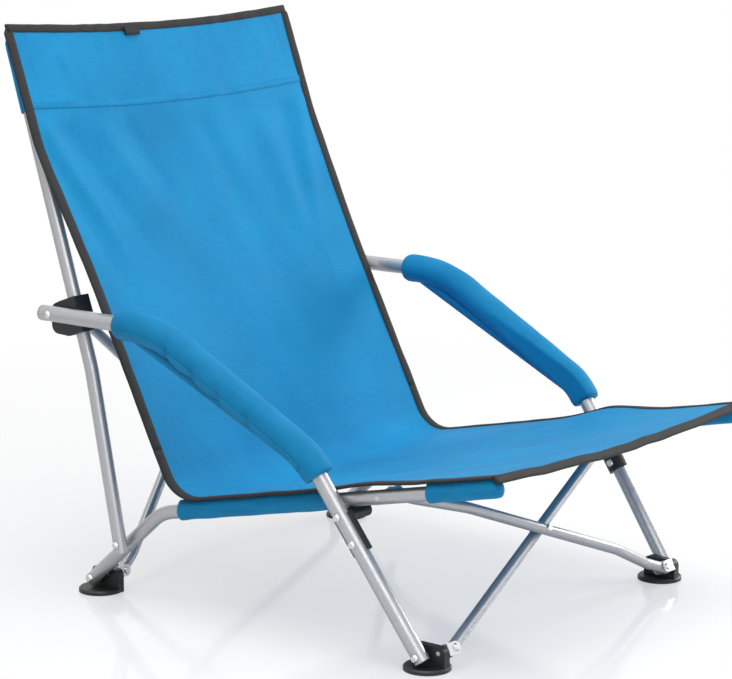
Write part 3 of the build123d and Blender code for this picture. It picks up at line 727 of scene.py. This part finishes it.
# %% Flat bars
BAR_SECTION = [(-1, -0.55), (-0.9, -1), (0.7, -1), (1, -0.4), (1, 0.4), (0.7, 1), (-0.9, 1), (-1, 0.55)]


def close_ends(piece, across, count):
    """Fills the two open ends of a swept bar."""
    mesh = piece.data
    shape = bmesh.new()
    shape.from_mesh(mesh)
    shape.verts.ensure_lookup_table()
    shape.faces.new([shape.verts[j] for j in range(across - 1, -1, -1)])
    shape.faces.new([shape.verts[(count - 1) * across + j] for j in range(across)])
    bmesh.ops.recalc_face_normals(shape, faces=shape.faces)
    shape.to_mesh(mesh)
    shape.free()


def flat_bar(name, centres, sideways, faces, half, thick, material):
    """Flat bar along centre points, with its width along sideways; half and thick are half its size."""
    rows = []
    for centre, side_way, face in zip(centres, sideways, faces):
        rows.append([centre + side_way * a * half * MM + face * b * thick * MM for a, b in BAR_SECTION])
    piece = grid_piece(name, rows, material, wrap=True)
    close_ends(piece, len(BAR_SECTION), len(rows))
    return piece


def joined(name, parts):
    """One piece from several that share a finish."""
    finish = parts[0].data.materials[0]
    shape = bmesh.new()
    for part in parts:
        shape.from_mesh(part.data)
        bpy.data.objects.remove(part)
    mesh = bpy.data.meshes.new(name)
    shape.to_mesh(mesh)
    shape.free()
    mesh.materials.append(finish)
    piece = bpy.data.objects.new(name, mesh)
    bpy.context.scene.collection.objects.link(piece)
    return piece


print("points round a bar:", len(BAR_SECTION))

# %% [markdown]
# The side strips follow the panels' edges with a slight waver, as sewn tape does. The top and front strips
# run across the ends and cover the ends of the side strips. The front one hangs down over the edge.

# %% Edge tape
TAPE_HALF = 6.6
END_TAPE_HALF = 5.0
TAPE_THICK = 1.7
TAPE_PROUD = 3.5
TAPE_CENTRE = HALF_WIDTH + TAPE_PROUD - TAPE_HALF
TAPE_WAVER = 0.8
FRONT_TAPE_HANG = 0.95
FRONT_TAPE_LAP = 1.6


def side_tape(name, line, start, sign):
    """Tape along one side edge of a panel."""
    tangents = directions(line)
    centres = []
    for i in range(len(line)):
        waver = TAPE_WAVER * noise.noise(Vector((i * 0.21, sign * 4.0, start * 0.01)))
        centres.append(sling_point(line, tangents, start, i, sign * TAPE_CENTRE, waver))
    outwards = [Vector((sign, 0, 0))] * len(line)
    faces = [face_direction(tangent) for tangent in tangents]
    return flat_bar(name, centres, outwards, faces, TAPE_HALF, TAPE_THICK, edge_webbing)


def end_tape(name, line, start, row, outward_sign, hang=0.0):
    """Tape across the front or top end of a panel; hang is the angle by which its outer edge turns down."""
    tangents = directions(line)
    face = face_direction(tangents[row])
    ahead = tangents[row] * outward_sign
    outward = ahead * math.cos(hang) - face * math.sin(hang)
    turned = face * math.cos(hang) + ahead * math.sin(hang)
    inset = outward * (END_TAPE_HALF - FRONT_TAPE_LAP if hang else TAPE_PROUD - END_TAPE_HALF) * MM
    xs = places_across(HALF_WIDTH + TAPE_PROUD)
    centres = [sling_point(line, tangents, start, row, x) + inset for x in xs]
    outwards, faces = [outward] * len(xs), [turned] * len(xs)
    return flat_bar(name, centres, outwards, faces, END_TAPE_HALF, TAPE_THICK, edge_webbing)


seat_tape = joined("seat_tape", [
    side_tape("left edge", seat_line, 0.0, 1), side_tape("right edge", seat_line, 0.0, -1),
    end_tape("front edge", seat_line, 0.0, 0, -1, FRONT_TAPE_HANG)])
back_tape = joined("back_tape", [
    side_tape("left edge", back_line, seat_length, 1), side_tape("right edge", back_line, seat_length, -1),
    end_tape("top edge", back_line, seat_length, len(back_line) - 1, 1)])
print("tape faces:", len(seat_tape.data.polygons) + len(back_tape.data.polygons))

# %% [markdown]
# Behind the top of the back, the cloth is folded down to form a pocket for the ends of the back tubes. It
# lies flat behind the sheet in the middle and goes round each tube at the sides. The double seam that holds
# its lower edge is what shows as a line across the front.

# %% Top pocket
POCKET_DEEP = 104.0
POCKET_CLOSING_RUN = 16
POCKET_RIPPLE = 0.5
POCKET_THICK = 1.2
POCKET_MIDDLE_GAP = 2.4
POCKET_MIDDLE = (0, 60, 120, 165, 190)
TUBE_BEHIND = 10.0
TUBE_REACH = 9.6
TUBE_TOP_X = 229.5
TUBE_LEAN = 0.0385
TUBE_TOP_BELOW = 12.0
ROUND_TUBE_FROM = 205
ROUND_TUBE_TURN = 225
ROUND_TUBE_STEPS = 13


def pocket_section(below_top):
    """(x, distance behind the cloth) pairs from edge to edge, at a distance below the top."""
    tube_x = TUBE_TOP_X + TUBE_LEAN * (below_top - TUBE_TOP_BELOW)
    half = [(x, POCKET_MIDDLE_GAP) for x in POCKET_MIDDLE]
    half += [(tube_x - 27, 2.8), (tube_x - 17, 4.0)]
    for k in range(ROUND_TUBE_STEPS + 1):
        angle = math.radians(ROUND_TUBE_FROM - k * ROUND_TUBE_TURN / ROUND_TUBE_STEPS)
        half.append((tube_x + TUBE_REACH * math.cos(angle), TUBE_BEHIND + TUBE_REACH * math.sin(angle)))
    half += [(tube_x + 12, 4.2), (tube_x + 14.5, 2.2)]
    return [(-x, b) for x, b in reversed(half)] + half[1:]


def pocket_row(row, below_top):
    """Points of the pocket behind one row of the back."""
    closing = 0.25 + 0.75 * smooth(below_top, 0, POCKET_CLOSING_RUN)
    wide = width_share(seat_length + row * back_step)
    points = []
    for x, behind in pocket_section(below_top):
        front = sling_point(back_line, back_tangents, seat_length, row, x / wide)
        ripple = POCKET_RIPPLE * noise.noise(Vector((x * 0.03, below_top * 0.03, 9.0)))
        points.append(front - face_direction(back_tangents[row]) * (behind * closing + ripple) * MM)
    return points


back_tangents = directions(back_line)
last = len(back_line) - 1
back_step = back_length / last
depths = [(row, (last - row) * back_step) for row in range(last + 1)]
pocket_rows = [pocket_row(row, below_top) for row, below_top in depths if below_top <= POCKET_DEEP]
top_pocket = thicken(grid_piece("top_pocket", pocket_rows, blue_cloth, flip=True), POCKET_THICK)
print("pocket rows:", len(pocket_rows))

# %% [markdown]
# Stitches are short lengths of thread that dip into the cloth at both ends. Modelled one by one as small
# pointed bars they catch the light like the real ones; as a bump map they would vanish in a close view.

# %% Stitches
STITCH_PITCH = 4.2
STITCH_LENGTH = 3.0
STITCH_RADIUS = 0.42
STITCH_DIP = 0.2
STITCH_SECTION = 5


def add_stitch(verts, faces, middle, along, face):
    """Adds one stitch: a ring of points in its middle and a point at each end."""
    sideways = along.cross(face).normalized()
    base = len(verts)
    reach, dip = along * STITCH_LENGTH / 2 * MM, face * STITCH_DIP * MM
    verts.append(middle - reach - dip)
    for k in range(STITCH_SECTION):
        turn = 2 * math.pi * k / STITCH_SECTION
        verts.append(middle + (sideways * math.cos(turn) + face * math.sin(turn)) * STITCH_RADIUS * MM)
    verts.append(middle + reach - dip)
    for k in range(STITCH_SECTION):
        here, after = base + 1 + k, base + 1 + (k + 1) % STITCH_SECTION
        faces.append((base, after, here))
        faces.append((base + STITCH_SECTION + 1, here, after))


def stitches(name, runs, material):
    """Rows of stitches; each run is a list of (point, outward face direction)."""
    verts, faces = [], []
    for run in runs:
        wait = 0.0
        for (a, face), (b, _) in zip(run, run[1:]):
            length = (b - a).length / MM
            along = (b - a).normalized()
            position = wait
            while position < length:
                add_stitch(verts, faces, a + along * position * MM, along, face)
                position += STITCH_PITCH
            wait = position - length
    mesh = bpy.data.meshes.new(name)
    mesh.from_pydata(verts, [], faces)
    mesh.polygons.foreach_set("use_smooth", [True] * len(mesh.polygons))
    mesh.materials.append(material)
    piece = bpy.data.objects.new(name, mesh)
    bpy.context.scene.collection.objects.link(piece)
    return piece


print("stitch pitch:", STITCH_PITCH, "mm")

# %% [markdown]
# Every tape is sewn with one row. The pocket's lower edge is turned in to a hem and sewn with two rows, which
# show as a double line across the back, and one row beside each tube closes the pocket's inner sides.

# %% Seams
SEAM_X = HALF_WIDTH - 4.6
POCKET_SIDE_SEAM_X = HALF_WIDTH - 25.0
ACROSS_SHARE = 0.985
HEM_HALF = 4.0
HEM_THICK = 0.6
HEM_SEAM_INSET = 0.9
ON_TAPE = TAPE_THICK + 0.1
ON_CLOTH = 0.85
ON_HEM = ON_CLOTH + HEM_THICK + 0.1
FRONT_SEAM_SHIFT = 1.0
TOP_SEAM_SHIFT = -4.0
BOTH_SIDES = (1, -1)


def run_along(line, start, x, lift):
    """Stitch line along a panel at a distance from its middle."""
    tangents = directions(line)
    return [(sling_point(line, tangents, start, i, x, lift), face_direction(tangent))
            for i, tangent in enumerate(tangents)]


def run_across(line, start, row, lift, shift=0.0):
    """Stitch line across a panel at a row of its line."""
    tangents = directions(line)
    face = face_direction(tangents[row])
    moved = tangents[row] * shift * MM
    xs = places_across(HALF_WIDTH * ACROSS_SHARE)
    return [(sling_point(line, tangents, start, row, x, lift) + moved, face) for x in xs]


seam_row = last - round((POCKET_DEEP - 4) / back_step)
seat_runs = [run_along(seat_line, 0.0, s * SEAM_X, ON_TAPE) for s in BOTH_SIDES]
seat_runs.append(run_across(seat_line, 0.0, 0, ON_TAPE, FRONT_SEAM_SHIFT))
seat_tape_seam = stitches("seat_tape_seam", seat_runs, dark_thread)
back_runs = [run_along(back_line, seat_length, s * SEAM_X, ON_TAPE) for s in BOTH_SIDES]
back_runs.append(run_across(back_line, seat_length, last, ON_TAPE, TOP_SEAM_SHIFT))
back_tape_seam = stitches("back_tape_seam", back_runs, dark_thread)
hem_run = run_across(back_line, seat_length, seam_row, ON_CLOTH, HEM_HALF)
pocket_hem = flat_bar("pocket_hem", [p for p, _ in hem_run], [back_tangents[seam_row]] * len(hem_run),
                      [face for _, face in hem_run], HEM_HALF, HEM_THICK, blue_cloth)
hem_seams = (HEM_SEAM_INSET, 2 * HEM_HALF - HEM_SEAM_INSET)
pocket_runs = [run_across(back_line, seat_length, seam_row, ON_HEM, shift) for shift in hem_seams]
for s in BOTH_SIDES:
    pocket_runs.append(run_along(back_line, seat_length, s * POCKET_SIDE_SEAM_X, ON_CLOTH)[seam_row:])
pocket_seam = stitches("pocket_seam", pocket_runs, blue_thread)
print("stitch faces:", len(seat_tape_seam.data.polygons) + len(back_tape_seam.data.polygons))

# %% [markdown]
# The sling hangs on the seat rails by sleeves: a long one behind the leg, and a closed pocket over the
# rail's front end. Each is a loop of cloth round the tube whose upper edges are sewn to the seat, so its
# section is a drop with the point upwards. The ends are hemmed, which makes them a little thicker.

# %% Rail sleeves
RAIL_X = 232.0
RAIL_FRONT = (-92.0, 211.0)
RAIL_BEND = (378.0, 111.0)
SLEEVE_RADIUS = 9.4
SLEEVE_THICK = 0.9
SLEEVE_STEP = 5.0
SLEEVE_AROUND = 28
DROP_TOP = 12.0
HEM_RISE = 0.6
HEM_RUN = (3, 9)
SLEEVE_SLACK = 0.35
SLEEVE_CREASE = 0.55
CLOSED_RUN = (14, 5)
SLEEVE_ENDS = (345, 122)
POCKET_ENDS = (-8, -100)


def rail_spot(y, sign):
    """Point on the rail's axis."""
    share = (y - RAIL_BEND[0]) / (RAIL_FRONT[0] - RAIL_BEND[0])
    return spot(sign * RAIL_X, y, RAIL_BEND[1] + share * (RAIL_FRONT[1] - RAIL_BEND[1]))


def rail_sleeve(name, sign, ends, closed_front):
    """Loop of cloth round the rail between two places, whose front may be sewn shut."""
    line = rounded_line([rail_spot(y, sign) for y in ends], [], SLEEVE_STEP)
    length = len(line) * SLEEVE_STEP
    along = (line[-1] - line[0]).normalized()
    outward = Vector((sign, 0, 0))
    upward = face_direction(-along)
    rows = []
    for i, centre in enumerate(line):
        hem = HEM_RISE * (1 - smooth(min(i, len(line) - 1 - i) * SLEEVE_STEP, *HEM_RUN))
        pinch = 1.0
        if closed_front:
            closing = smooth(i * SLEEVE_STEP, length - CLOSED_RUN[0], length - CLOSED_RUN[1])
            pinch = math.sqrt(max(0.0, 1 - closing ** 2))
        row = []
        for k in range(SLEEVE_AROUND):
            angle = 2 * math.pi * k / SLEEVE_AROUND
            up = math.sin(angle)
            drop = max(0.0, up) ** 6 * (DROP_TOP - SLEEVE_RADIUS)
            slack = SLEEVE_SLACK * max(0.0, -up)
            crease = noise.noise(Vector((i * 0.22, math.cos(angle) * 1.5, up * 1.5 + sign * 5)))
            crease = max(-0.3, SLEEVE_CREASE * crease)
            reach = max(0.4, (SLEEVE_RADIUS + hem + drop + slack + crease) * pinch)
            row.append(centre + (outward * math.cos(angle) + upward * up) * reach * MM)
        rows.append(row)
    # The sleeve's cloth is the darker blue of the pads: painted shade, for the shade under the seat.
    return thicken(grid_piece(name, rows, shaded_sleeve_cloth, wrap=True, flip=sign > 0), SLEEVE_THICK)


SIDES = (("left", 1), ("right", -1))
rail_sleeves = {
    side_name: (rail_sleeve("rail_sleeve_cloth_" + side_name, sign, SLEEVE_ENDS, False),
                rail_sleeve("corner_pocket_cloth_" + side_name, sign, POCKET_ENDS, True))
    for side_name, sign in SIDES}
print("rail sleeves:", 2 * len(rail_sleeves))

# %% [markdown]
# The arms carry foam under the same blue cloth, made a little darker there as painted shade. A pad follows
# the arm tube, which leans outwards a little from the foot and bends twice. So its line is worked out in the
# arm's own leaning plane, from the rear end to just below the front bend, and rings of points are set round
# that line. A curve with a bevel could sweep the same form, but its rings couldn't be pressed in one by one.

# %% Arm line
LEG_FOOT = (240.0, 0.0, 16.0)
ARM_X = 263.07
LEG_BEND = (140.0, 215.0)
ARM_BEND = (352.0, 330.0)
LEG_BEND_RADIUS = 80.0
ARM_BEND_RADIUS = 160.0
SLEEVE_REAR_Y = 408.0
SLEEVE_PAST_BEND = 24.0
PAD_STEP = 3.5
PAD_AROUND = 40
# The rail passes close inside the arm, so the pad is pressed flat there.
RAIL_SIDE_X = 242.9


def arm_spot(point, sign):
    """Point in the leaning plane of the arm from a (y, z) pair."""
    share = (point[1] - LEG_FOOT[2]) / (ARM_BEND[1] - LEG_FOOT[2])
    return spot(sign * (LEG_FOOT[0] + share * (ARM_X - LEG_FOOT[0])), *point)


def arm_line(sign):
    """Line of the padded stretch of the arm, from its rear end to just under the front bend."""
    bend = Vector(LEG_BEND)
    toward_foot = (Vector(LEG_FOOT[1:]) - bend).normalized()
    low_end = tuple(bend + toward_foot * SLEEVE_PAST_BEND)
    corners = [arm_spot(p, sign) for p in ((SLEEVE_REAR_Y, ARM_BEND[1]), ARM_BEND, LEG_BEND, low_end)]
    return rounded_line(corners, [ARM_BEND_RADIUS * MM, LEG_BEND_RADIUS * MM], PAD_STEP)


def pad_ring(centre, tangent, sign, reach):
    """Ring of points round the arm; reach gives the radius in millimetres at an angle from straight down."""
    outward = Vector((sign, 0, 0))
    upward = tangent.cross(outward).normalized()
    if upward.z < 0:
        upward.negate()
    sideways = upward.cross(tangent).normalized()
    if sideways.x * sign < 0:
        sideways.negate()
    ring = []
    for k in range(PAD_AROUND):
        angle = 2 * math.pi * k / PAD_AROUND
        point = centre + (sideways * math.sin(angle) - upward * math.cos(angle)) * reach(angle) * MM
        if point.x * sign < RAIL_SIDE_X * MM:
            point.x = RAIL_SIDE_X * MM * sign
        ring.append(point)
    return ring


print("padded length:", round(line_length(arm_line(1))), "mm")

# %% [markdown]
# The pad's cloth is wrapped round the foam and closed along the outer lower side. On the inside of each bend
# it has too much length, and it puckers into small notches along that seam. The pad is a thick ring swept
# along the arm: its skin is pulled in at the notches, swells between them, and rounds over at the ends to
# the hole for the tube. Sculpting could do the same, but not so evenly on both arms.

# %% Padded arms
PAD_RADIUS = 17.4
PAD_HOLE = 9.3
PAD_SEAM = 0.95
SEAM_SPREAD = 0.62
PUCKERS = (0.27, 0.40, 0.53, 0.68)
PUCKER_RUN = 0.013
PUCKER_DEEP = 5.6
PUCKER_SLANT = 0.02
SWELL_AFTER = 0.06
SWELL_RUN = 0.04
SWELL_MM = 0.9
LAP_MM = 0.9
SOFT_MM = 0.5
END_ROUNDING = (0.22, 0.05)


def pad_reach(share, sign):
    """Radius of the pad's skin at a share of its length, as a function of the angle from straight down."""
    def reach(angle):
        turn = math.atan2(math.sin(angle), math.cos(angle))
        from_seam = turn - PAD_SEAM
        pull = sum(hill(share - p + PUCKER_SLANT * from_seam, PUCKER_RUN) for p in PUCKERS)
        swell = sum(hill(share - p - SWELL_AFTER, SWELL_RUN) for p in PUCKERS)
        lap = LAP_MM * smooth(from_seam, -0.06, 0.06) * (1 - smooth(from_seam, 0.3, 1.2))
        soft = noise.noise(Vector((share * 14, math.cos(angle) * 1.2, math.sin(angle) * 1.2 + sign * 3)))
        near_seam = hill(from_seam, SEAM_SPREAD)
        return PAD_RADIUS + near_seam * (SWELL_MM * swell - PUCKER_DEEP * pull) + lap + SOFT_MM * soft
    return reach


def padded_sleeve(side_name, sign):
    """Foam pad with its cloth skin on one arm."""
    line = arm_line(sign)
    tangents = directions(line)
    count = len(line) - 1
    rows = [pad_ring(p, t, sign, pad_reach(i / count, sign)) for i, (p, t) in enumerate(zip(line, tangents))]
    hole = [pad_ring(p, t, sign, lambda angle: PAD_HOLE) for p, t in zip(line, tangents)]
    for row, rounding in ((0, 0), (1, 1), (count - 1, 1), (count, 0)):
        for k in range(PAD_AROUND):
            rows[row][k] = rows[row][k].lerp(hole[row][k], END_ROUNDING[rounding])
    rows += [hole[count], hole[count - 1], hole[1], hole[0]]
    return grid_piece("padded_arm_" + side_name, rows, shaded_sleeve_cloth, wrap=True, loop=True, flip=sign > 0)


arm_pads = {name: padded_sleeve(name, sign) for name, sign in SIDES}
print("pad faces:", len(arm_pads["left"].data.polygons))

# %% [markdown]
# Where the pad's cloth is closed, one edge lies over the other. It is a narrow strip that follows the pad's
# skin, notches and all, and stands a little proud of it.

# %% Closing edge of the pads
STRIP_INSET = 4
STRIP_SPREAD = (5, 6, 7, 8, 9)
STRIP_ABOVE = 0.9
STRIP_BELOW = 0.5


def closing_strip(side_name, sign):
    """Overlapping edge of the pad's cloth, which follows the notches."""
    line = arm_line(sign)
    tangents = directions(line)
    count = len(line) - 1
    rows = []
    for i in range(STRIP_INSET, count - STRIP_INSET):
        skin = pad_reach(i / count, sign)
        outer = pad_ring(line[i], tangents[i], sign, lambda angle: skin(angle) + STRIP_ABOVE)
        inner = pad_ring(line[i], tangents[i], sign, lambda angle: skin(angle) - STRIP_BELOW)
        rows.append([outer[k] for k in STRIP_SPREAD] + [inner[k] for k in reversed(STRIP_SPREAD)])
    piece = grid_piece("arm_closing_strip_" + side_name, rows, shaded_sleeve_cloth, wrap=True)
    close_ends(piece, len(rows[0]), len(rows))
    return piece


arm_strips = {name: closing_strip(name, sign) for name, sign in SIDES}
print("closing edges:", len(arm_strips))

# %% [markdown]
# A small folded tab is caught in the top seam. It is a short loop of dark webbing, left plain. Its profile
# goes down from the seam and back up, and is drawn out to the tab's width.

# %% Top tab
TAB_X = -45.0
TAB_HALF = 12.0
TAB_THICK = 0.6
TAB_ROOT = 2.0
TAB_PROFILE = [(0, 0.3), (3, 0.5), (7, 0.7), (9.5, 1.0), (10, 1.7), (9.4, 2.4), (7, 2.7), (3, 2.6), (0, 2.4)]
top_tangent = back_tangents[last]
top_face = face_direction(top_tangent)
tab_root = sling_point(back_line, back_tangents, seat_length, last, TAB_X, 1.0) - top_tangent * TAB_ROOT * MM
tab_rows = []
for down, out in TAB_PROFILE:
    middle = tab_root - top_tangent * down * MM + top_face * out * MM
    tab_rows.append([middle + Vector((x * MM, 0, 0)) for x in places_across(TAB_HALF, 3)])
top_tab = thicken(grid_piece("top_tab", tab_rows, edge_webbing), TAB_THICK)
print("tab width:", 2 * TAB_HALF, "mm")

# %% [markdown]
# Next, each piece of the sling is tied to the body that carries it, and the solid that it stands for is
# hidden.
# The seat rides on the right rail and the back on the sling's own body. When the real chair folds, both sides
# move in and the cloth bunches up between the rails; the back has to pass between the back tubes. A share of
# gathering is worked out for each sheet, more for the back, but nothing uses it.

# %% Sling rides
SEAT_SHARE = 0.39
BACK_SHARE = 0.33
carried = [
    (seat_cloth, "right_rail", "blue_fabric", "seat_panel"),
    (seat_tape, "right_rail", "dark_binding", "seat_binding"),
    (seat_tape_seam, "right_rail", "dark_binding", None),
    (back_cloth, "back_sling", "blue_fabric", "back_panel"),
    (top_pocket, "back_sling", "blue_fabric", None),
    (back_tape, "back_sling", "dark_binding", "back_binding"),
    (back_tape_seam, "back_sling", "dark_binding", None),
    (pocket_seam, "back_sling", "blue_fabric", None),
    (pocket_hem, "back_sling", "blue_fabric", None),
    (top_tab, "back_sling", "plain_label", "label_loop"),
]


def carry(piece, body, node):
    """Ties a piece to a body and hides the solid that it stands for, if any."""
    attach(piece, body)
    if node:
        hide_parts(node)


for piece, body, slot, node in carried:
    carry(piece, body, node)
    share = BACK_SHARE if body == "back_sling" and piece is not top_pocket else SEAT_SHARE
    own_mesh(piece)
print("sling pieces:", len(carried))

# %% [markdown]
# The sleeves ride on their own rail and the pads on their own arm, so they keep their shape in every pose. A
# pad is declared as padded, with the share of it that foam fills.

# %% Sleeves and pads ride
for side_name, _ in SIDES:
    sleeve, pocket = rail_sleeves[side_name]
    rail, arm = side_name + "_rail", side_name + "_arm"
    carry(sleeve, rail, "rail_sleeve_" + side_name)
    carry(pocket, rail, "corner_pocket_" + side_name)
    carry(arm_pads[side_name], arm, "arm_sleeve_" + side_name)
    carry(arm_strips[side_name], arm, None)

# %% [markdown]
# Last, the number of cloth sheets is printed.

print("sheets:", 3 + 2 * len(SIDES))
